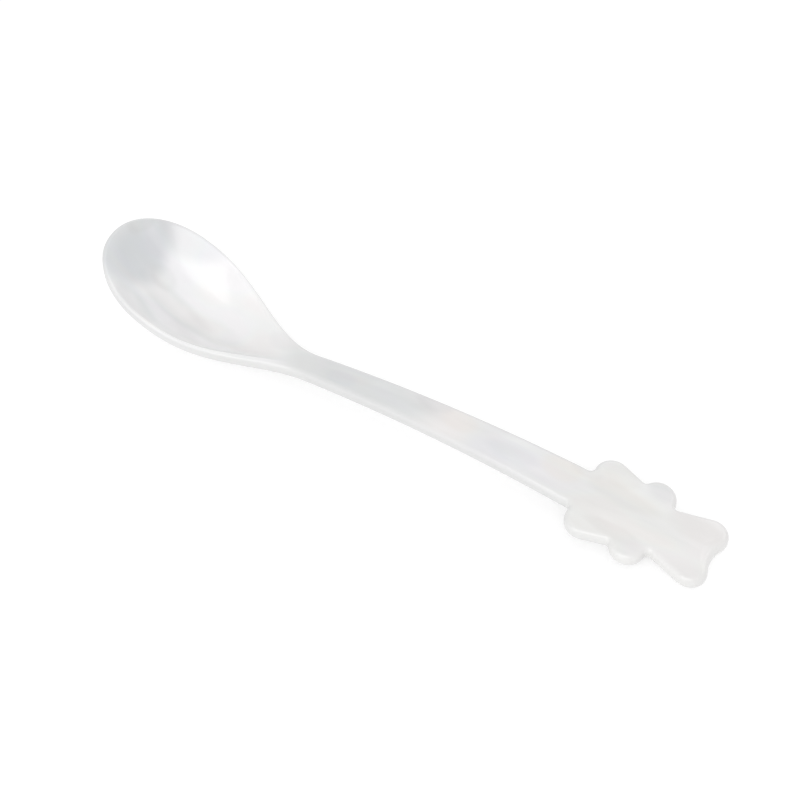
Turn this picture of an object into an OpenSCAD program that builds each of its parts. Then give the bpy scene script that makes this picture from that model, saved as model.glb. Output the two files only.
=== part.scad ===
// Small spoon of polished mother-of-pearl with a faceless teddy-bear end.
// It lies as on a table: +X runs from the bowl to the bear, +Z is up.
// Stations along the spoon are measured in +X from the tip of the bowl.

/* [Bowl] */
// Tip of the bowl to the narrowest place of the neck
bowl_l = 44.4; // [40:0.1:52]
// Greatest width of the bowl
bowl_w = 23.6; // [19:0.1:27]
// Station of the greatest width
bowl_widest_at = 14; // [11:0.1:18]
// Depth of the hollow below the rim
bowl_depth = 7.15; // [4:0.05:8.5]
// Station of the deepest place
bowl_deepest_at = 17; // [13:0.5:21]
// Wall at the bottom of the hollow, measured upright
bowl_wall = 1.5; // [1:0.1:2.2]
// Height of the rim's edge, measured upright
rim_t = 2.1; // [1.6:0.1:2.6]
// Rounding of the rim
rim_round = 0.55; // [0.3:0.05:0.7]
// How square the tip is: 2 is an ellipse
tip_square = 2.1; // [2:0.1:2.8]
// How long the flanks stay full behind the greatest width: 1 is an even fall
flank_full = 1.06; // [0.9:0.02:1.3]
// Upward tilt of the rim towards the tip, in degrees
bowl_tilt = 23; // [10:1:26]
// Length of rim that lies in one plane, from the tip
rim_flat_l = 20.5; // [18:0.1:30]

/* [Stem] */
// Neck to the root of the bear
stem_l = 55; // [40:1:80]
// Width at the neck
neck_w = 5.8; // [4:0.1:7]
// Width at the root of the bear
root_w = 8.7; // [6:0.1:9.4]
// Thickness of the stem and the bear
handle_t = 2.8; // [2.5:0.1:3.4]
// Rounding of the long edges
handle_round = 1.15; // [0.5:0.05:1.2]
// Rise of the stem as it leaves the neck, in degrees
neck_rise = 6; // [2:0.5:12]
// How far the top face swells above its edges
handle_crown = 0.15; // [0:0.05:0.4]

/* [Bear] */
// Fall of the bear towards its ears, in degrees
bear_drop = 5.4; // [0:0.1:10]
// Straight edge left between the root and the hollow before the foot
root_land = 1.3; // [0.2:0.1:2]
// Middle line to the middle of a foot
foot_out = 5.8; // [5:0.1:6.2]
// Radius of a foot
foot_r = 3.4; // [2.8:0.1:3.8]
// Middle of the feet to the middle of the paws, along the spoon
paw_gap = 9.1; // [8.4:0.1:10.6]
// Middle line to the middle of a paw
paw_out = 6.1; // [5.4:0.1:6.4]
// Radius of a paw
paw_r = 3.4; // [2.9:0.1:3.7]
// Middle of the paws to the middle of the ears, along the spoon
ear_gap = 11.5; // [10:0.1:13]
// Middle line to the middle of an ear
ear_out = 4.3; // [3.8:0.1:4.8]
// Radius of an ear
ear_r = 3.2; // [2.6:0.1:3.5]
// Radius of the hollow between stem and foot
crotch_r = 1; // [0.6:0.1:2]
// Inward lean of the hips, from foot to paw, in degrees
hip_lean = 18; // [10:0.5:22]
// Radius of the notch between hip and paw
waist_r = 0.8; // [0.5:0.1:1.6]
// Radius of the notch between paw and cheek
nape_r = 0.8; // [0.5:0.1:2]
// Radius of the dip between the ears
crown_r = 7.2; // [5:0.1:12]
// Outward lean of the cheeks, in degrees
cheek_lean = 16.5; // [8:0.5:20]

/* [Hidden] */

// Steps along and across the surfaces
tip_steps = 16;
bowl_steps = 18;
stem_steps = 14;
across_steps = 14;
round_steps = 4;
arc_step_deg = 15;

neck_at = bowl_l;
root_at = bowl_l + stem_l;
neck_run = neck_at - rim_flat_l;
neck_half = neck_w / 2;
root_half = root_w / 2;
bowl_half = bowl_w / 2;
nacre_colour = [0.90, 0.90, 0.89];

// Profile: the rim's plane, a bend at the neck, the arch of the stem, the bear's plane
rim_slope = -tan(bowl_tilt);
rise_slope = tan(neck_rise);
drop_slope = -tan(bear_drop);

// Height gained over x of a stretch whose slope changes evenly from a to b
function climb(x, len, a, b) = a * x + (b - a) * x * x / (2 * len);

neck_h = rim_slope * rim_flat_l + climb(neck_run, neck_run, rim_slope, rise_slope);
root_h = neck_h + climb(stem_l, stem_l, rise_slope, drop_slope);

// Height of the top edges at station s, counted from the tip
function edge_h(s) =
    s <= rim_flat_l ? rim_slope * s
    : s <= neck_at ? rim_slope * rim_flat_l + climb(s - rim_flat_l, neck_run, rim_slope, rise_slope)
    : s <= root_at ? neck_h + climb(s - neck_at, stem_l, rise_slope, drop_slope)
    : root_h + drop_slope * (s - root_at);

// Falls from 1 to 0 as x goes from 0 to len, level at both ends
function fade(x, len) = x <= 0 ? 1 : x >= len ? 0 : (1 + cos(180 * x / len)) / 2;

// Depth on the middle line, as a share of the greatest, of a hollow that starts at station start
function hollow_share(s, start) =
    s < bowl_deepest_at
        ? max(0, 1 - pow((bowl_deepest_at - s) / (bowl_deepest_at - start), 2))
        : fade(s - bowl_deepest_at, neck_at - bowl_deepest_at);

// Rounds a curve that rises from 0 to 1 so that it starts level
lip_share = 0.03;
function eased(u) = (1 + lip_share) * u * u / (u + lip_share);

// How much of the rim's form is left at station s: all of it on the bowl, none past the neck
function rim_share(s) = fade(s - rim_flat_l, neck_run);

// Upright thickness and rounding of the edges
function edge_t(s) = handle_t - (handle_t - rim_t) * rim_share(s);
function edge_round(s) = handle_round - (handle_round - rim_round) * rim_share(s);

// How much of the handle's swell the top face has at station s, where the outline is half wide
function swell_share(s, half) = (1 - rim_share(s)) * min(1, half / neck_half);

// Half width of the straight stem, carried on under the bowl
function stem_half(s) = neck_half + (root_half - neck_half) * (s - neck_at) / stem_l;

// Half width of the bowl's flank, from its widest place to the neck
function flank_half(s) =
    let (way = pow((s - bowl_widest_at) / (neck_at - bowl_widest_at), flank_full))
    stem_half(s) + (bowl_half - stem_half(bowl_widest_at)) * fade(way, 1);

// Lean of the belly's wall where it leaves the rim, in degrees from level: none past the neck
function belly_lean(s) =
    let (at = min(neck_at, max(s, bowl_widest_at)))
    atan(2 * (bowl_depth + bowl_wall - rim_t) * hollow_share(at, 0) / flank_half(at));

// Where the rounded edge hands over to the underside: how far below the top edge, and how far in
function skirt_drop(s) = edge_t(s) - edge_round(s) * (1 - cos(belly_lean(s)));
function skirt_inset(s) = edge_round(s) * (1 - sin(belly_lean(s)));

// Half outline, from the tip along the +Y side to the dip between the ears
tip_line = [for (i = [0:tip_steps])
    let (a = 90 * i / tip_steps)
    [bowl_widest_at * (1 - pow(cos(a), 2 / tip_square)), bowl_half * pow(sin(a), 2 / tip_square)]];
flank_line = [for (i = [1:bowl_steps])
    let (s = bowl_widest_at + (neck_at - bowl_widest_at) * i / bowl_steps)
    [s, flank_half(s)]];
stem_line = [for (i = [1:stem_steps])
    let (s = neck_at + stem_l * i / stem_steps)
    [s, stem_half(s)]];

// The bear is a chain of arcs, each tangent to the next
crotch = [root_at + root_land, root_half + crotch_r];
foot = [crotch.x + sqrt(pow(foot_r + crotch_r, 2) - pow(crotch.y - foot_out, 2)), foot_out];
paw = [foot.x + paw_gap, paw_out];
ear = [paw.x + ear_gap, ear_out];
overall_l = ear.x + ear_r;

// Middle of a notch of radius r that touches a straight flank and a knob. The flank passes through
// start along dir and faces out; side is -1 where it comes before the knob and 1 where it comes after.
function notch_middle(start, dir, out, knob, knob_r, r, side) =
    let (to = knob - start - r * out,
         off = to * out)
    start + r * out + (to * dir + side * sqrt(pow(knob_r + r, 2) - off * off)) * dir;

hip_dir = [cos(hip_lean), -sin(hip_lean)];
hip_out = [sin(hip_lean), cos(hip_lean)];
hip_start = foot + foot_r * hip_out;
waist = notch_middle(hip_start, hip_dir, hip_out, paw, paw_r, waist_r, -1);
hip_end = waist - waist_r * hip_out;
cheek_dir = [cos(cheek_lean), sin(cheek_lean)];
cheek_out = [-cheek_dir.y, cheek_dir.x];
cheek_top = ear + ear_r * cheek_out;
nape = notch_middle(cheek_top, cheek_dir, cheek_out, paw, paw_r, nape_r, 1);
crown_x = ear.x + sqrt(pow(ear_r + crown_r, 2) - ear.y * ear.y);
crown = [crown_x, 0];

function bearing(from, to) = atan2(to.y - from.y, to.x - from.x);

// Points of an arc, without its first one
function arc(mid, r, from, to) =
    let (n = max(2, ceil(abs(to - from) / arc_step_deg)))
    [for (i = [1:n]) let (a = from + (to - from) * i / n) mid + r * [cos(a), sin(a)]];

bear_line = concat(
    arc(crotch, crotch_r, -90, bearing(crotch, foot)),
    arc(foot, foot_r, 180 + bearing(crotch, foot), 90 - hip_lean),
    [hip_end],
    arc(waist, waist_r, -90 - hip_lean, bearing(waist, paw)),
    arc(paw, paw_r, 180 + bearing(waist, paw), bearing(paw, nape)),
    arc(nape, nape_r, -180 + bearing(paw, nape), -90 + cheek_lean),
    [cheek_top],
    arc(ear, ear_r, 90 + cheek_lean, bearing(ear, crown)),
    arc(crown, crown_r, 180 + bearing(ear, crown), 180));

half_line = concat(tip_line, flank_line, stem_line, bear_line);
last = len(half_line) - 1;
neck_ring = tip_steps + bowl_steps;
root_ring = neck_ring + stem_steps;

// Inward direction at point j: square to the middle line where two sections meet and at the ends
function inward(j) =
    j == 0 ? [1, 0]
    : j == last ? [-1, 0]
    : j >= neck_ring && j <= root_ring ? [0, -1]
    : let (t = half_line[j + 1] - half_line[j - 1]) [t.y, -t.x] / norm(t);

// Station on the middle line that row j of the bear starts from
ridge_end = half_line[last].x - handle_round;
function ridge(j, edge) =
    j <= root_ring ? edge.x
    : root_at + (ridge_end - root_at) * (j - root_ring) / (last - root_ring);

// Place i across row j, drawn in from the outline by inset, and how far it is from the edges: 0 to 1
function row_at(j, i, inset) =
    let (edge = half_line[j] + inset * inward(j),
         share = sin(90 - 180 * i / across_steps),
         mid = ridge(j, edge))
    [mid + (edge.x - mid) * share * share, edge.y * share, 1 - share * share];

function top_at(j, i) =
    let (q = row_at(j, i, edge_round(half_line[j].x)),
         dip = bowl_depth * eased(hollow_share(q.x, rim_round) * q.z),
         swell = handle_crown * swell_share(q.x, half_line[j].y) * eased(q.z))
    [q.x, q.y, edge_h(q.x) - dip + swell];
function under_at(j, i) =
    let (s = half_line[j].x,
         q = row_at(j, i, skirt_inset(s)),
         belly = (bowl_depth + bowl_wall - skirt_drop(s)) * hollow_share(q.x, skirt_inset(0)) * q.z)
    [q.x, q.y, edge_h(q.x) - skirt_drop(s) - belly];

// Point k of the rounded edge of row j: k counts down from the top face to the underside
edge_points = 2 * round_steps;
function edge_at(j, k, side) =
    let (p = half_line[j], r = edge_round(p.x),
         upper = k <= round_steps,
         turn = 90 - belly_lean(p.x),
         a = upper ? 90 - 90 * k / round_steps : -turn * (k - round_steps - 1) / round_steps,
         q = p + r * (1 - cos(a)) * inward(j),
         h = edge_h(q.x))
    [q.x, side * q.y, upper ? h - r * (1 - sin(a)) : h - edge_t(q.x) + r * (1 + sin(a))];

// One ring of the surface: across the top from +Y to -Y, round the edge, back underneath, round the edge
function ring(j) = concat(
    [for (i = [0:across_steps]) top_at(j, i)],
    [for (k = [1:edge_points]) edge_at(j, k, -1)],
    [for (i = [across_steps:-1:0]) under_at(j, i)],
    [for (k = [edge_points:-1:1]) edge_at(j, k, 1)]);
ring_size = 2 * (across_steps + 1) + 2 * edge_points;

// At the tip and between the ears a ring shrinks to one edge line, so both sides share its points
function pole_point(m) =
    m <= across_steps ? 0
    : m <= across_steps + edge_points ? m
    : m <= 2 * across_steps + edge_points + 1 ? across_steps + edge_points + 1
    : across_steps + ring_size - m;

// The table's height below the tip: the spoon stands on the lowest place of its underside
low_point = min([for (j = [0:last]) for (p = ring(j)) p.z]);
on_table = [-overall_l / 2, 0, -low_point];

// A section of the spoon between two rings, closed by a flat face where it meets its neighbour
module section(first, final) {
    rings = final - first;
    points = [for (j = [first:final]) for (p = ring(j)) p + on_table];
    function id(j, m) =
        let (w = m % ring_size)
        j * ring_size + ((first + j == 0 || first + j == last) ? pole_point(w) : w);
    sides = [for (j = [0:rings - 1], m = [0:ring_size - 1])
        each [[id(j, m), id(j + 1, m + 1), id(j, m + 1)], [id(j, m), id(j + 1, m), id(j + 1, m + 1)]]];
    skin = [for (f = sides) if (f[0] != f[1] && f[1] != f[2] && f[2] != f[0]) f];
    front = first == 0 ? [] : [[for (m = [0:ring_size - 1]) m]];
    back = final == last ? [] : [[for (m = [ring_size - 1:-1:0]) rings * ring_size + m]];
    polyhedron(points, concat(skin, front, back), convexity = 6);
}

module bowl() { color(nacre_colour) section(0, neck_ring); }
module stem() { color(nacre_colour) section(neck_ring, root_ring); }
module bear_finial() { color(nacre_colour) section(root_ring, last); }

bowl();
stem();
bear_finial();
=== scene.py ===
import math

import bpy
import numpy as np
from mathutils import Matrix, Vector


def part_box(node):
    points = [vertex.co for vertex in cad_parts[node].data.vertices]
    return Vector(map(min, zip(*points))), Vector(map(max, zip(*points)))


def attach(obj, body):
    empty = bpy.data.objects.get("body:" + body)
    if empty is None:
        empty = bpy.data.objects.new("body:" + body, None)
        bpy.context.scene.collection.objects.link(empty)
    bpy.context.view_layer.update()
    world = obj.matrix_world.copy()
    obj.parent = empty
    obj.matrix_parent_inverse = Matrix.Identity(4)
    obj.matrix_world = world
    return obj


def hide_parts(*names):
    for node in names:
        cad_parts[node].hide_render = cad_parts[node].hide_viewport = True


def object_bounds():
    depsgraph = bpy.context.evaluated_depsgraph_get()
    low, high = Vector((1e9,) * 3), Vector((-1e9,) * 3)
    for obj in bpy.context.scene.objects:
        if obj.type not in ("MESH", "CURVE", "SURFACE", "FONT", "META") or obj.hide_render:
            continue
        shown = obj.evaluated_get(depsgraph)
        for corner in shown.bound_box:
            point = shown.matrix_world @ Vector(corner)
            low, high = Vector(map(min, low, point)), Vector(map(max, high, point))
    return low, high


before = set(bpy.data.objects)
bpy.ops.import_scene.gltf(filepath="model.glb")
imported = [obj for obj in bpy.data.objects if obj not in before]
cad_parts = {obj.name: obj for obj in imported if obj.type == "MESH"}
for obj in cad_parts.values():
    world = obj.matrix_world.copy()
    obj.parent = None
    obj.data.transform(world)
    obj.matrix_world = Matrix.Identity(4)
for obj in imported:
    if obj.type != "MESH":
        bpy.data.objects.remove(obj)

mm = 0.001  # lengths in the dictionaries are millimetres, meshes are metres
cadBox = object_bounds()
print("frame loaded:", len(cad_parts), "nodes")


# Stations run along +X from the tip of the bowl, as the spoon lies on the table.

bowl = dict(
    widestAt=14.0,  # station of the greatest width
    depth=7.15,  # hollow below the rim
    deepestAt=17.0,
    wall=1.5,  # at the bottom of the hollow
    rimHeight=2.1,
    rimRound=0.55,
    tipSquare=2.1,  # 2 would be an ellipse
    flankFull=1.06,
    tilt=23.0,  # degrees, tip up
    rimFlat=20.5,  # length of rim in one plane
    lipShare=0.03,  # how early the hollow rounds into the rim
    tipRows=150,
    flankRows=150,
)

stem = dict(
    neckWidth=5.8,
    thick=2.8,
    edgeRound=1.15,
    rise=6.0,  # degrees, leaving the neck
    crown=0.15,  # swell of the top face
    rows=140,
)

bear = dict(
    drop=5.4,  # degrees, falling towards the ears
    rootLand=1.3,  # straight edge before the hollow at the foot
    footOut=5.8, footRadius=3.4,
    pawGap=9.1, pawOut=6.1, pawRadius=3.4,
    earGap=11.5, earOut=4.3, earRadius=3.2,
    crotchRadius=1.0, waistRadius=0.8, napeRadius=0.8, crownRadius=7.2,
    hipLean=18.0,  # degrees, inwards from foot to paw
    cheekLean=16.5,  # degrees, outwards from paw to ear
    arcStep=3.0,  # degrees between rows on an arc
    edgeSteps=13,  # rows on a straight edge
    landSteps=4,  # rows before the hollow at the foot
)

# the lengths that the frame already fixes
bowlLow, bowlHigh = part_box("bowl")
stemLow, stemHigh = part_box("stem")
tipX = bowlLow.x / mm
neckAt = stemLow.x / mm - tipX
rootAt = stemHigh.x / mm - tipX
bowlHalf = bowlHigh.y / mm
rootHalf = stemHigh.y / mm
neckHalf = stem["neckWidth"] / 2
stemLength = rootAt - neckAt

rimSlope = -math.tan(math.radians(bowl["tilt"]))
riseSlope = math.tan(math.radians(stem["rise"]))
dropSlope = -math.tan(math.radians(bear["drop"]))


# height gained over x where the slope changes evenly from a to b over length
def climb(x, length, a, b):
    return a * x + (b - a) * x * x / (2 * length)


# falls from 1 to 0 along half a cosine as t goes from 0 to 1
def fade(t):
    return (1 + np.cos(np.pi * np.clip(t, 0, 1))) / 2


neckRun = neckAt - bowl["rimFlat"]
neckHeight = rimSlope * bowl["rimFlat"] + climb(neckRun, neckRun, rimSlope, riseSlope)
rootHeight = neckHeight + climb(stemLength, stemLength, riseSlope, dropSlope)
seat = stemLow.z / mm - neckHeight + stem["thick"]  # lifts the spoon onto the table


# top edge seen from the side: the rim's plane, a bend at the neck, the arch of the stem,
# the bear's plane
def edgeHeight(s):
    bend = rimSlope * bowl["rimFlat"] + climb(s - bowl["rimFlat"], neckRun, rimSlope, riseSlope)
    arch = neckHeight + climb(s - neckAt, stemLength, riseSlope, dropSlope)
    plate = rootHeight + dropSlope * (s - rootAt)
    stretches = [s <= bowl["rimFlat"], s <= neckAt, s <= rootAt]
    return np.select(stretches, [rimSlope * s, bend, arch], plate)


# 0 on the bowl, 1 on the handle, with an even change along the neck
def handleShare(s):
    return 1 - fade((s - bowl["rimFlat"]) / neckRun)


# upright thickness and rounding of the edges: the rim's on the bowl, the handle's past the neck
def edgeThick(s):
    return bowl["rimHeight"] + (stem["thick"] - bowl["rimHeight"]) * handleShare(s)


def edgeRound(s):
    return bowl["rimRound"] + (stem["edgeRound"] - bowl["rimRound"]) * handleShare(s)


# depth of the hollow on the middle line: a parabola from start to the deepest place, then half a cosine
def hollowShare(s, start):
    front = np.maximum(0, 1 - ((bowl["deepestAt"] - s) / (bowl["deepestAt"] - start)) ** 2)
    back = fade((s - bowl["deepestAt"]) / (neckAt - bowl["deepestAt"]))
    return np.where(s < bowl["deepestAt"], front, back)


# rounds a curve that rises from 0 to 1 so that it starts level
def eased(u):
    return (1 + bowl["lipShare"]) * u * u / (u + bowl["lipShare"])


# half width of the straight stem, carried on under the bowl
def stemHalf(s):
    return neckHalf + (rootHalf - neckHalf) * (s - neckAt) / stemLength


# half width behind the widest place: the stem's line plus half a cosine
def flankHalf(s):
    way = (s - bowl["widestAt"]) / (neckAt - bowl["widestAt"])
    swell = bowlHalf - stemHalf(bowl["widestAt"])
    return stemHalf(s) + swell * fade(np.clip(way, 0, 1) ** bowl["flankFull"])


# lean of the belly where it leaves the rim, in radians from level
def bellyLean(s):
    at = np.clip(s, bowl["widestAt"], neckAt)
    belly = bowl["depth"] + bowl["wall"] - bowl["rimHeight"]
    return np.arctan(2 * belly * hollowShare(at, 0.0) / flankHalf(at))


# where the rounded edge hands over to the underside: how far below the top edge, and how far in
def skirtDrop(s):
    return edgeThick(s) - edgeRound(s) * (1 - np.cos(bellyLean(s)))


def skirtInset(s):
    return edgeRound(s) * (1 - np.sin(bellyLean(s)))


# Half outlines on the +Y side, with the direction into the shell at each point.

# superellipse from the tip to the widest place: s = a(1 - cos^p), w = b sin^p, p = 2 / tipSquare,
# then the flank; the direction inwards is the tangent turned by a right angle
def bowlOutline():
    a = np.linspace(0, np.pi / 2, bowl["tipRows"] + 1)
    power = 2 / bowl["tipSquare"]
    tip = bowl["widestAt"] * (1 - np.abs(np.cos(a)) ** power)
    flank = np.linspace(bowl["widestAt"], neckAt, bowl["flankRows"] + 1)[1:]
    half = np.concatenate([bowlHalf * np.sin(a) ** power, flankHalf(flank)])
    points = np.column_stack([np.concatenate([tip, flank]), half])
    tangent = np.gradient(points, axis=0)
    inward = np.column_stack([tangent[:, 1], -tangent[:, 0]])
    inward /= np.linalg.norm(inward, axis=1, keepdims=True)
    inward[0] = [1.0, 0.0]
    inward[-1] = [0.0, -1.0]
    return dict(points=points, inward=inward, ridge=None)


# two straight lines that part a little towards the bear
def stemOutline():
    s = np.linspace(neckAt, rootAt, stem["rows"] + 1)
    inward = np.tile([0.0, -1.0], (len(s), 1))
    return dict(points=np.column_stack([s, stemHalf(s)]), inward=inward, ridge=None)


def bearing(a, b):
    return math.degrees(math.atan2(b[1] - a[1], b[0] - a[0]))


# an arc without its first point; inwards is towards the middle of a knob and away from a hollow's
def arcRows(middle, radius, fromDeg, toDeg, knob):
    steps = max(2, math.ceil(abs(toDeg - fromDeg) / bear["arcStep"]))
    a = np.radians(np.linspace(fromDeg, toDeg, steps + 1)[1:])
    ray = np.column_stack([np.cos(a), np.sin(a)])
    return np.array(middle) + radius * ray, -ray if knob else ray


# a straight edge without its first point
def edgeRows(start, end, out):
    rows = np.linspace(start, end, bear["edgeSteps"] + 1)[1:]
    return rows, np.tile(-out, (len(rows), 1))


# middle of the round notch of radius r between a knob and a straight edge that leaves start along way
def notchMiddle(start, way, out, knob, knobRadius, r, side):
    line = start + r * out
    run, off = (knob - line) @ way, (knob - line) @ out
    return line + (run + side * math.sqrt((knobRadius + r) ** 2 - off * off)) * way


# arcs that touch each other, with a straight hip and a straight cheek
def bearOutline():
    b = bear
    crotch = np.array([rootAt + b["rootLand"], rootHalf + b["crotchRadius"]])
    reach = math.sqrt((b["footRadius"] + b["crotchRadius"]) ** 2 - (crotch[1] - b["footOut"]) ** 2)
    foot = np.array([crotch[0] + reach, b["footOut"]])
    paw = np.array([foot[0] + b["pawGap"], b["pawOut"]])
    ear = np.array([paw[0] + b["earGap"], b["earOut"]])
    crown = np.array([ear[0] + math.sqrt((b["earRadius"] + b["crownRadius"]) ** 2 - ear[1] ** 2), 0.0])
    hip, cheek = math.radians(b["hipLean"]), math.radians(b["cheekLean"])
    hipWay = np.array([math.cos(hip), -math.sin(hip)])
    hipOut = np.array([math.sin(hip), math.cos(hip)])
    cheekWay = np.array([math.cos(cheek), math.sin(cheek)])
    cheekOut = np.array([-math.sin(cheek), math.cos(cheek)])
    hipTop = foot + b["footRadius"] * hipOut
    cheekTop = ear + b["earRadius"] * cheekOut
    waist = notchMiddle(hipTop, hipWay, hipOut, paw, b["pawRadius"], b["waistRadius"], -1)
    nape = notchMiddle(cheekTop, cheekWay, cheekOut, paw, b["pawRadius"], b["napeRadius"], 1)
    land = np.linspace([rootAt, rootHalf], [crotch[0], rootHalf], b["landSteps"] + 1)
    runs = [
        (land, np.tile([0.0, -1.0], (len(land), 1))),
        arcRows(crotch, b["crotchRadius"], -90, bearing(crotch, foot), False),
        arcRows(foot, b["footRadius"], 180 + bearing(crotch, foot), 90 - b["hipLean"], True),
        edgeRows(hipTop, waist - b["waistRadius"] * hipOut, hipOut),
        arcRows(waist, b["waistRadius"], -90 - b["hipLean"], bearing(waist, paw), False),
        arcRows(paw, b["pawRadius"], 180 + bearing(waist, paw), bearing(paw, nape), True),
        arcRows(nape, b["napeRadius"], -180 + bearing(paw, nape), -90 + b["cheekLean"], False),
        edgeRows(nape - b["napeRadius"] * cheekOut, cheekTop, cheekOut),
        arcRows(ear, b["earRadius"], 90 + b["cheekLean"], bearing(ear, crown), True),
        arcRows(crown, b["crownRadius"], 180 + bearing(ear, crown), 180, False),
    ]
    points = np.vstack([r[0] for r in runs])
    inward = np.vstack([r[1] for r in runs])
    points[-1, 1] = 0.0
    inward[-1] = [-1.0, 0.0]
    ridge = np.linspace(rootAt, points[-1, 0] - stem["edgeRound"], len(points))
    return dict(points=points, inward=inward, ridge=ridge)


# The carved surface. Across a row, share = sin(v) goes from 1 at one edge to -1 at the other, and
# fromEdges = 1 - share^2 goes from 0 at the edges to 1 on the middle line.

grid = dict(across=72, roundSteps=9, wallSteps=4)
share = np.sin(np.linspace(np.pi / 2, -np.pi / 2, grid["across"] + 1))
fromEdges = 1 - share * share


# a row runs straight across, or in a shallow V on the bear, where ridge gives its middle
def rowPlaces(outline, inset):
    edge = outline["points"] + inset[:, None] * outline["inward"]
    middle = edge[:, 0] if outline["ridge"] is None else outline["ridge"]
    x = middle[:, None] + (edge[:, 0] - middle)[:, None] * share ** 2
    return x, edge[:, 1:2] * share


# edge height - depth * eased(hollow * fromEdges) + crown * eased(fromEdges), with less crown where the
# outline is narrower than the neck
def topFace(outline):
    points = outline["points"]
    x, y = rowPlaces(outline, edgeRound(points[:, 0]))
    dip = bowl["depth"] * eased(hollowShare(x, bowl["rimRound"]) * fromEdges)
    narrow = np.minimum(1, points[:, 1:2] / neckHalf)
    swell = stem["crown"] * handleShare(x) * narrow * eased(fromEdges)
    return np.stack([x, y, edgeHeight(x) - dip + swell], axis=-1)


# edge height - skirt drop - belly * hollow * fromEdges
def underFace(outline):
    s = outline["points"][:, 0]
    x, y = rowPlaces(outline, skirtInset(s))
    drop = skirtDrop(s)[:, None]
    belly = (bowl["depth"] + bowl["wall"] - drop) * hollowShare(x, skirtInset(0.0)) * fromEdges
    return np.stack([x, y, edgeHeight(x) - drop - belly], axis=-1)


# the edge from just below the top face to just above the underside: a quarter circle, an upright
# wall, and a part circle down to the lean of the belly; edgeOn is the cosine of the turn
def edgeBand(outline):
    points, inward = outline["points"], outline["inward"]
    s = points[:, 0]
    rounding = edgeRound(s)[:, None]
    steps = np.linspace(0, 1, grid["roundSteps"] + 1)
    wall = np.linspace(0, 1, grid["wallSteps"] + 1)[1:-1]
    upper = np.tile(np.pi / 2 * (1 - steps[1:]), (len(s), 1))
    lower = -(np.pi / 2 - bellyLean(s))[:, None] * steps[:-1]
    edgeOn = np.concatenate([np.cos(upper), np.ones((len(s), len(wall))), np.cos(lower)], axis=1)
    inset = rounding * (1 - edgeOn)
    x = points[:, 0:1] + inset * inward[:, 0:1]
    y = points[:, 1:2] + inset * inward[:, 1:2]
    topDrop = rounding * (1 - np.sin(upper))
    lowDrop = edgeThick(s)[:, None] - rounding * (1 + np.sin(lower))
    wallDrop = topDrop[:, -1:] + (lowDrop[:, :1] - topDrop[:, -1:]) * wall
    z = edgeHeight(x) - np.concatenate([topDrop, wallDrop, lowDrop], axis=1)
    return np.stack([x, y, z], axis=-1), edgeOn


# rings across the top, round the near edge, back underneath and round the far edge, with two values
# for the material: layer, the depth below the top edges, and wallLightMask, how far the layers are seen
# edge-on, which sets where painted light and shade lie on the walls
def carvedRings(outline):
    top, under = topFace(outline), underFace(outline)
    farEdge, edgeOn = edgeBand(outline)
    nearEdge = farEdge * [1, -1, 1]
    rings = np.concatenate([top, nearEdge, under[:, ::-1], farEdge[:, ::-1]], axis=1)
    layer = edgeHeight(rings[..., 0]) - rings[..., 2]
    flat = np.zeros(top.shape[:2])
    # share of the edge walls, where the material paints light and shade
    wallLightMask = np.concatenate([flat, edgeOn, flat, edgeOn[:, ::-1]], axis=1)
    rings += [tipX, 0, seat]
    return rings * mm, {"layer": layer * mm, "wallLightMask": wallLightMask}


# at the tip and between the ears a ring shrinks to one edge line, so both sides share its points
def foldedRing(size):
    m = np.arange(size)
    across = grid["across"]
    below = size // 2  # first place of the underside
    fold = np.where(m <= across, 0, m)
    fold = np.where((m >= below) & (m <= below + across), below, fold)
    return np.where(m > below + across, across + size - m, fold)


# one closed piece from its rings: quads between rings, a flat face where it meets its neighbour
def carvedPiece(name, outline, foldFirst, foldLast):
    rings, shares = carvedRings(outline)
    count, size = rings.shape[:2]
    ids = np.arange(count * size).reshape(count, size)
    caps = []
    if foldFirst:
        ids[0] = ids[0][foldedRing(size)]
    else:
        caps.append(ids[0][::-1])
    if foldLast:
        ids[-1] = ids[-1][foldedRing(size)]
    else:
        caps.append(ids[-1])
    following = np.roll(ids, -1, axis=1)
    corners = np.stack([ids[:-1], following[:-1], following[1:], ids[1:]], axis=-1).reshape(-1, 4)
    same = corners == np.roll(corners, -1, axis=1)
    quads = corners[~same.any(axis=1)]
    pinched = same.sum(axis=1) == 1
    triangles = corners[pinched][~same[pinched]].reshape(-1, 3)

    used = np.unique(np.concatenate([quads.ravel(), triangles.ravel(), *caps]))
    place = np.zeros(count * size, int)
    place[used] = np.arange(len(used))
    faces = place[quads].tolist() + place[triangles].tolist() + [place[cap].tolist() for cap in caps]
    mesh = bpy.data.meshes.new(name)
    mesh.from_pydata(rings.reshape(-1, 3)[used].tolist(), [], faces)
    mesh.polygons.foreach_set("use_smooth", np.ones(len(mesh.polygons), bool))

    # the flat faces keep crisp borders, so the polished skin runs on over the meeting line
    pairs = np.zeros(len(mesh.edges) * 2, np.int32)
    mesh.edges.foreach_get("vertices", pairs)
    pairs = pairs.reshape(-1, 2)
    sharp = np.zeros(len(mesh.edges), bool)
    for cap in caps:
        sharp |= np.isin(pairs, place[cap]).all(axis=1)
    mesh.attributes.new("sharp_edge", "BOOLEAN", "EDGE").data.foreach_set("value", sharp)
    for label, values in shares.items():
        mesh.attributes.new(label, "FLOAT", "POINT").data.foreach_set("value", values.reshape(-1)[used])
    mesh.validate()
    mesh.update()
    piece = bpy.data.objects.new(name, mesh)
    bpy.context.scene.collection.objects.link(piece)
    print(name, len(mesh.vertices), "vertices,", len(mesh.polygons), "faces")
    return piece


bowlPiece = carvedPiece("pearlBowl", bowlOutline(), True, False)
stemPiece = carvedPiece("pearlStem", stemOutline(), False, False)
bearPiece = carvedPiece("pearlBear", bearOutline(), False, True)


# Shared node helpers.

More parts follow.
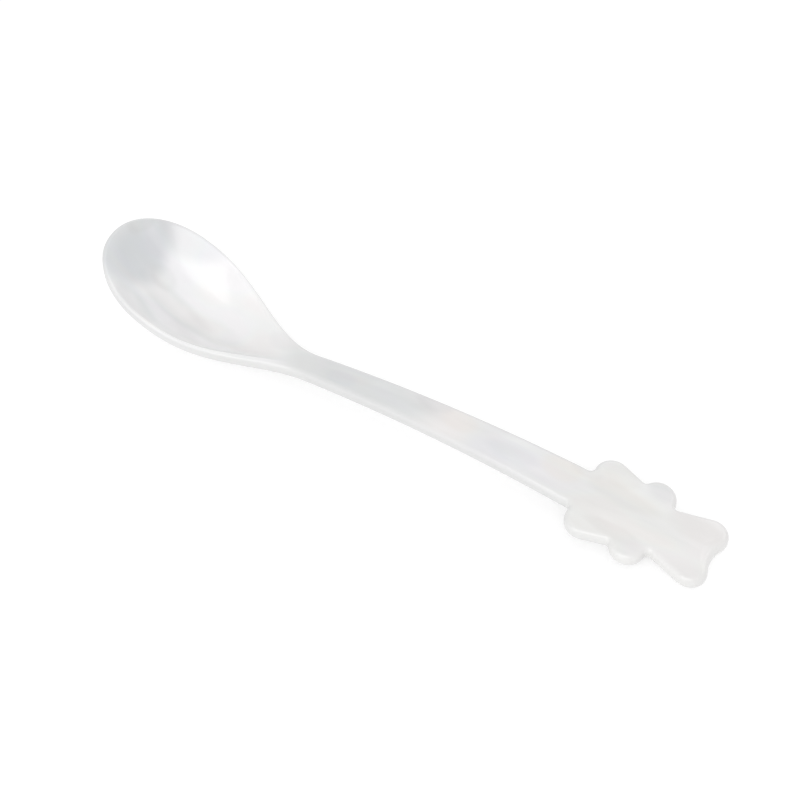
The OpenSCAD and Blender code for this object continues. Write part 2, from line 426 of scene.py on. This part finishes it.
# colour ramp with its stops
def rampColour(tree, value, stops):
    ramp = tree.nodes.new("ShaderNodeValToRGB")
    ramp.color_ramp.interpolation = "EASE"
    elements = ramp.color_ramp.elements
    while len(elements) < len(stops):
        elements.new(0.5)
    for element, (at, colour) in zip(elements, stops):
        element.position = at
        element.color = (*colour, 1)
    tree.links.new(value, ramp.inputs["Fac"])
    return ramp.outputs["Color"]


# carries low to high onto toLow to toHigh
def between(tree, value, low, high, toLow, toHigh):
    node = tree.nodes.new("ShaderNodeMapRange")
    node.inputs["From Min"].default_value = low
    node.inputs["From Max"].default_value = high
    node.inputs["To Min"].default_value = toLow
    node.inputs["To Max"].default_value = toHigh
    tree.links.new(value, node.inputs["Value"])
    return node.outputs["Result"]


def mathOf(tree, operation, a, b):
    node = tree.nodes.new("ShaderNodeMath")
    node.operation = operation
    tree.links.new(a, node.inputs[0])
    tree.links.new(b, node.inputs[1])
    return node.outputs[0]


def timesColour(tree, a, b):
    node = tree.nodes.new("ShaderNodeMix")
    node.data_type = "RGBA"
    node.blend_type = "MULTIPLY"
    node.inputs["Factor"].default_value = 1.0
    tree.links.new(a, node.inputs[6])
    tree.links.new(b, node.inputs[7])
    return node.outputs[2]


def attributeOf(tree, label):
    node = tree.nodes.new("ShaderNodeAttribute")
    node.attribute_name = label
    return node.outputs["Fac"]


pearl = dict(
    toneAlong=[  # share of the length from the tip, colour
        (0.00, (0.85, 0.855, 0.86)),
        # the three pale stops in the bowl are partly the shell's own tone and partly painted highlight
        (0.08, (0.905, 0.905, 0.91)),
        (0.14, (0.915, 0.91, 0.91)),
        (0.20, (0.92, 0.915, 0.915)),
        (0.27, (0.86, 0.86, 0.86)),
        (0.33, (0.73, 0.73, 0.725)),
        (0.38, (0.68, 0.685, 0.685)),
        (0.52, (0.69, 0.695, 0.70)),
        (0.575, (0.825, 0.815, 0.81)),
        (0.64, (0.785, 0.78, 0.78)),
        (0.72, (0.78, 0.775, 0.78)),
        (0.80, (0.79, 0.79, 0.78)),
        (1.00, (0.81, 0.80, 0.785)),
    ],
    paintedWallLightAlong=[  # the same for the edge walls, where the layers are seen edge-on: painted light and shade that make them lighter or darker than the top faces
        (0.00, (0.70, 0.70, 0.695)),
        (0.06, (0.71, 0.71, 0.71)),
        (0.13, (0.75, 0.75, 0.75)),
        (0.22, (0.75, 0.75, 0.745)),
        (0.30, (0.755, 0.755, 0.75)),
        (0.38, (0.725, 0.725, 0.725)),
        (0.72, (0.725, 0.725, 0.725)),
        (0.80, (0.775, 0.775, 0.77)),
        (0.90, (0.82, 0.815, 0.805)),
        (1.00, (0.80, 0.795, 0.785)),
    ],
    # how much of the walls' painted light and shade replaces the colour of the top faces
    paintedWallLightShare=0.9,
    cloudsAndShade=[  # soft spots: middle and reach in millimetres, colour laid over the tone; the first six are painted shade in the hollow
        ((-61.6, 1.4, 14.5), (9.0, 13.0, 10.0), (0.82, 0.83, 0.838)),  # painted shade in the tip of the hollow, with the next three
        ((-59.0, 0.8, 12.5), (7.5, 6.5, 7.5), (0.91, 0.915, 0.925)),
        ((-54.5, 10.7, 13.0), (12.0, 6.0, 7.0), (0.868, 0.876, 0.885)),
        ((-61.6, 5.6, 16.8), (4.0, 4.0, 2.2), (0.94, 0.94, 0.93)),
        ((-50.0, -5.5, 6.5), (10.0, 6.0, 7.0), (0.945, 0.945, 0.945)),  # painted shade on the near side of the hollow, with the next one
        ((-53.8, -8.8, 11.2), (7.0, 4.5, 5.5), (0.91, 0.92, 0.925)),
        ((-50.5, -1.3, 5.5), (12.0, 3.5, 9.0), (0.90, 0.905, 0.905)),
        ((-54.8, 1.8, 8.5), (4.0, 2.8, 4.0), (0.945, 0.945, 0.94)),
        ((-42.0, -0.8, 2.2), (8.0, 3.5, 5.0), (0.95, 0.95, 0.95)),
        ((-40.0, -4.0, 3.0), (13.0, 5.0, 5.0), (0.95, 0.95, 0.95)),
        ((-27.5, 2.6, 4.8), (5.0, 2.5, 3.0), (0.955, 0.96, 0.965)),  # neck
        ((-22.0, -0.5, 5.0), (4.5, 3.0, 3.0), (0.975, 0.99, 0.98)),  # spots along the stem
        ((-13.0, -0.7, 6.0), (4.0, 2.2, 3.0), (0.97, 0.98, 1.0)),
        ((5.5, 2.5, 7.0), (5.0, 2.5, 3.0), (0.94, 0.94, 0.945)),
        ((11.5, 0.9, 7.0), (4.5, 3.0, 3.0), (1.0, 0.985, 0.97)),
        ((19.0, -2.5, 7.0), (6.0, 3.0, 3.0), (0.985, 0.985, 1.0)),
        ((13.8, 2.6, 7.0), (9.5, 2.5, 3.0), (0.945, 0.945, 0.945)),
        ((23.3, -0.3, 6.5), (6.5, 3.0, 3.0), (0.955, 0.96, 0.97)),
        ((32.5, 1.5, 6.0), (5.0, 3.5, 3.0), (1.0, 0.98, 0.955)),
        ((36.5, 3.8, 5.6), (4.0, 2.2, 3.0), (0.955, 0.955, 0.955)),
        ((45.0, 2.0, 5.0), (9.0, 3.0, 3.0), (0.975, 0.965, 0.955)),  # streaks on the bear
        ((50.5, 8.5, 4.5), (5.0, 4.0, 4.0), (0.92, 0.925, 0.935)),
        ((42.5, 6.0, 5.0), (5.0, 3.0, 3.0), (0.97, 0.96, 0.95)),
        ((46.5, -5.5, 4.7), (7.0, 1.9, 3.0), (0.96, 0.95, 0.95)),
        ((59.0, 3.3, 4.0), (8.0, 3.5, 3.0), (0.96, 0.955, 0.95)),
    ],
    cloudCore=0.45,  # share of a cloud's reach over which it fades in
    # noise fields: scale per metre along, across and through the layers
    figure=dict(scale=(55.0, 260.0, 150.0), shift=(0.0, 0.0, 0.0), detail=2.0),
    tint=dict(scale=(85.0, 210.0, 160.0), shift=(3.1, 7.4, 1.7), detail=0.0),
    polish=dict(scale=(55.0, 260.0, 150.0), shift=(5.3, 2.9, 4.1), detail=2.0),
    noiseRough=0.5,
    noiseBend=0.4,
    figureTurn=9.0,  # degrees, the figure runs a little askew of the stem
    figureRange=(0.25, 0.75),  # noise values drawn from dark to light
    figureDepth=0.085,
    figureInBowl=0.35,  # share of it left in the bowl
    figureGrows=(0.25, 0.4),  # and where along the spoon it comes back
    toneWander=0.012,  # how far the figure shifts the tone along the spoon
    tints=[
        (0.32, (1.0, 0.985, 0.982)),
        (0.42, (1.0, 0.996, 0.99)),
        (0.50, (0.992, 1.0, 0.995)),
        (0.57, (0.988, 0.993, 1.0)),
        (0.66, (0.996, 0.988, 1.0)),
    ],
    polishRange=(0.3, 0.7),
    rough=(0.28, 0.36),
    ripple=0.000006,  # metres
    refraction=1.6,
    coat=0.5,
    coatRough=0.07,
)


# noise in the solid blank: along, across and through its layers
def noiseField(tree, blank, field):
    place = tree.nodes.new("ShaderNodeMapping")
    place.inputs["Location"].default_value = field["shift"]
    place.inputs["Rotation"].default_value = (0, 0, math.radians(pearl["figureTurn"]))
    place.inputs["Scale"].default_value = field["scale"]
    tree.links.new(blank, place.inputs["Vector"])
    noise = tree.nodes.new("ShaderNodeTexNoise")
    noise.inputs["Scale"].default_value = 1.0
    noise.inputs["Detail"].default_value = field["detail"]
    noise.inputs["Roughness"].default_value = pearl["noiseRough"]
    noise.inputs["Distortion"].default_value = pearl["noiseBend"]
    tree.links.new(place.outputs[0], noise.inputs["Vector"])
    return noise.outputs["Fac"]


# a soft ball, stretched to its reach, that lays its colour over what is below
def cloudOver(tree, coords, colour, middle, reach, patch):
    place = tree.nodes.new("ShaderNodeMapping")
    place.vector_type = "TEXTURE"
    place.inputs["Location"].default_value = Vector(middle) * mm
    place.inputs["Scale"].default_value = Vector(reach) * mm
    tree.links.new(coords, place.inputs["Vector"])
    ball = tree.nodes.new("ShaderNodeTexGradient")
    ball.gradient_type = "SPHERICAL"
    tree.links.new(place.outputs[0], ball.inputs[0])
    soft = rampColour(tree, ball.outputs["Fac"], [(0.0, (1.0, 1.0, 1.0)), (pearl["cloudCore"], patch)])
    return timesColour(tree, colour, soft)


# tone along the spoon, shifted and shaded by the figure, times faint tints, clouds and painted shade in
# the hollow, then mixed on the edge walls with their painted light and shade
def pearlColour(tree, coords, blank, along):
    figure = noiseField(tree, blank, pearl["figure"])
    wander = between(tree, figure, *pearl["figureRange"], -pearl["toneWander"], pearl["toneWander"])
    at = mathOf(tree, "ADD", along, wander)
    tint = rampColour(tree, noiseField(tree, blank, pearl["tint"]), pearl["tints"])
    depth = pearl["figureDepth"] / 2
    drawn = between(tree, figure, *pearl["figureRange"], -depth, depth)
    shown = between(tree, along, *pearl["figureGrows"], pearl["figureInBowl"], 1.0)
    shade = between(tree, mathOf(tree, "MULTIPLY", drawn, shown), -1.0, 1.0, 0.0, 2.0)
    colour = timesColour(tree, rampColour(tree, at, pearl["toneAlong"]), tint)
    colour = timesColour(tree, colour, shade)
    for middle, reach, patch in pearl["cloudsAndShade"]:
        colour = cloudOver(tree, coords, colour, middle, reach, patch)
    edge = tree.nodes.new("ShaderNodeMix")
    edge.data_type = "RGBA"
    # painted light and shade on the edge walls
    wallLightMask = between(tree, attributeOf(tree, "wallLightMask"), 0.0, 1.0, 0.0, pearl["paintedWallLightShare"])
    tree.links.new(wallLightMask, edge.inputs["Factor"])
    tree.links.new(colour, edge.inputs[6])
    tree.links.new(rampColour(tree, at, pearl["paintedWallLightAlong"]), edge.inputs[7])
    return edge.outputs[2]


def pearlMaterial():
    mat = bpy.data.materials.new("polishedNacre")
    mat.use_nodes = True
    tree = mat.node_tree
    shader = tree.nodes["Principled BSDF"]
    coords = tree.nodes.new("ShaderNodeTexCoord").outputs["Object"]
    split = tree.nodes.new("ShaderNodeSeparateXYZ")
    tree.links.new(coords, split.inputs[0])
    blank = tree.nodes.new("ShaderNodeCombineXYZ")
    tree.links.new(split.outputs["X"], blank.inputs["X"])
    tree.links.new(split.outputs["Y"], blank.inputs["Y"])
    tree.links.new(attributeOf(tree, "layer"), blank.inputs["Z"])
    low, high = cadBox
    along = between(tree, split.outputs["X"], low.x, high.x, 0.0, 1.0)
    tree.links.new(pearlColour(tree, coords, blank.outputs[0], along), shader.inputs["Base Color"])

    polish = noiseField(tree, blank.outputs[0], pearl["polish"])
    rough = between(tree, polish, *pearl["polishRange"], *pearl["rough"])
    tree.links.new(rough, shader.inputs["Roughness"])
    ripple = tree.nodes.new("ShaderNodeBump")
    ripple.inputs["Distance"].default_value = pearl["ripple"]
    tree.links.new(polish, ripple.inputs["Height"])
    tree.links.new(ripple.outputs["Normal"], shader.inputs["Normal"])
    shader.inputs["IOR"].default_value = pearl["refraction"]
    shader.inputs["Coat Weight"].default_value = pearl["coat"]
    shader.inputs["Coat Roughness"].default_value = pearl["coatRough"]
    return mat


nacre = pearlMaterial()
for piece, node in ((bowlPiece, "bowl"), (stemPiece, "stem"), (bearPiece, "bear_finial")):
    piece.data.materials.append(nacre)
    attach(piece, "root")
    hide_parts(node)
print("pieces ride on the frame")


studio = dict(  # metres and watts
    floorSize=6.0,
    floorColour=(0.92, 0.92, 0.92),
    seenColour=(0.42, 0.42, 0.42),  # the floor as the camera sees it
    floorLift=0.65,  # glow that brings it to white around a soft shadow
    floorRough=0.9,
    ambient=0.745,
    lamps=[  # place, width and height, power
        ("frontSoftbox", (0.25, -0.85, 0.85), (1.2, 0.7), 4.3),
        ("lowFrontFill", (-0.4, -1.1, 0.28), (1.6, 0.5), 1.4),
        ("backSoftbox", (0.1, 0.95, 0.75), (1.4, 0.6), 2.0),
    ],
)


# 1 for what the camera and reflections see, 0 for the light that falls on the spoon
def seenShare(tree):
    path = tree.nodes.new("ShaderNodeLightPath")
    return mathOf(tree, "MAXIMUM", path.outputs["Is Camera Ray"], path.outputs["Is Glossy Ray"])


def buildFloor():
    half = studio["floorSize"] / 2
    mesh = bpy.data.meshes.new("floor")
    corners = [(-half, -half, 0), (half, -half, 0), (half, half, 0), (-half, half, 0)]
    mesh.from_pydata(corners, [], [(0, 1, 2, 3)])
    floor = bpy.data.objects.new("floor", mesh)
    bpy.context.scene.collection.objects.link(floor)
    mat = bpy.data.materials.new("paperFloor")
    mat.use_nodes = True
    tree = mat.node_tree
    shader = tree.nodes["Principled BSDF"]
    shader.inputs["Roughness"].default_value = studio["floorRough"]
    shader.inputs["Specular IOR Level"].default_value = 0.0
    seen = seenShare(tree)
    paper = tree.nodes.new("ShaderNodeMix")
    paper.data_type = "RGBA"
    paper.inputs[6].default_value = (*studio["floorColour"], 1)
    paper.inputs[7].default_value = (*studio["seenColour"], 1)
    tree.links.new(seen, paper.inputs["Factor"])
    tree.links.new(paper.outputs[2], shader.inputs["Base Color"])
    shader.inputs["Emission Color"].default_value = (1, 1, 1, 1)
    lift = between(tree, seen, 0.0, 1.0, 0.0, studio["floorLift"])
    tree.links.new(lift, shader.inputs["Emission Strength"])
    mesh.materials.append(mat)


def buildWorld():
    world = bpy.data.worlds.new("whiteRoom")
    bpy.context.scene.world = world
    world.use_nodes = True
    tree = world.node_tree
    back = tree.nodes["Background"]
    back.inputs["Color"].default_value = (1, 1, 1, 1)
    level = between(tree, seenShare(tree), 0.0, 1.0, studio["ambient"], 1.0)
    tree.links.new(level, back.inputs["Strength"])


# a rectangular soft lamp that looks at the middle of the spoon
def softLamp(name, place, size, power):
    lamp = bpy.data.lights.new(name, "AREA")
    lamp.shape = "RECTANGLE"
    lamp.size, lamp.size_y = size
    lamp.energy = power
    rig = bpy.data.objects.new(name, lamp)
    rig.location = place
    rig.rotation_euler = (-Vector(place)).to_track_quat("-Z", "Y").to_euler()
    bpy.context.scene.collection.objects.link(rig)


buildFloor()
buildWorld()
for lamp in studio["lamps"]:
    softLamp(*lamp)
print("studio lit")


view = dict(
    azimuth=30.5,  # degrees
    elevation=50.0,
    distance=400.0,
    lensPixels=2156.0,  # focal length in pixels of the 800-pixel frame
    framePixels=800.0,
    sensorWidth=36.0,
    nearest=10.0,
    subject=(0.76, 0.0, 4.2),  # seen right of and below the frame's middle
    subjectOff=(6.7, 10.3),  # by this many pixels
)


def buildCamera():
    az, el = math.radians(view["azimuth"]), math.radians(view["elevation"])
    right = Vector((math.cos(az), math.sin(az), 0))
    back = Vector((math.sin(az) * math.cos(el), -math.cos(az) * math.cos(el), math.sin(el)))
    up = back.cross(right)
    subject = Vector(view["subject"]) * mm
    eye = subject + back * view["distance"] * mm
    perPixel = view["distance"] * mm / view["lensPixels"]
    offRight, offDown = view["subjectOff"]
    aim = subject - right * offRight * perPixel + up * offDown * perPixel
    cam = bpy.data.cameras.new("camera")
    cam.sensor_width = view["sensorWidth"]
    cam.lens = view["sensorWidth"] * view["lensPixels"] / view["framePixels"]
    cam.clip_start = view["nearest"] * mm
    rig = bpy.data.objects.new("camera", cam)
    rig.location = eye
    rig.rotation_euler = (aim - eye).to_track_quat("-Z", "Y").to_euler()
    bpy.context.scene.collection.objects.link(rig)
    bpy.context.scene.camera = rig


buildCamera()
bpy.context.scene.view_settings.view_transform = "Standard"
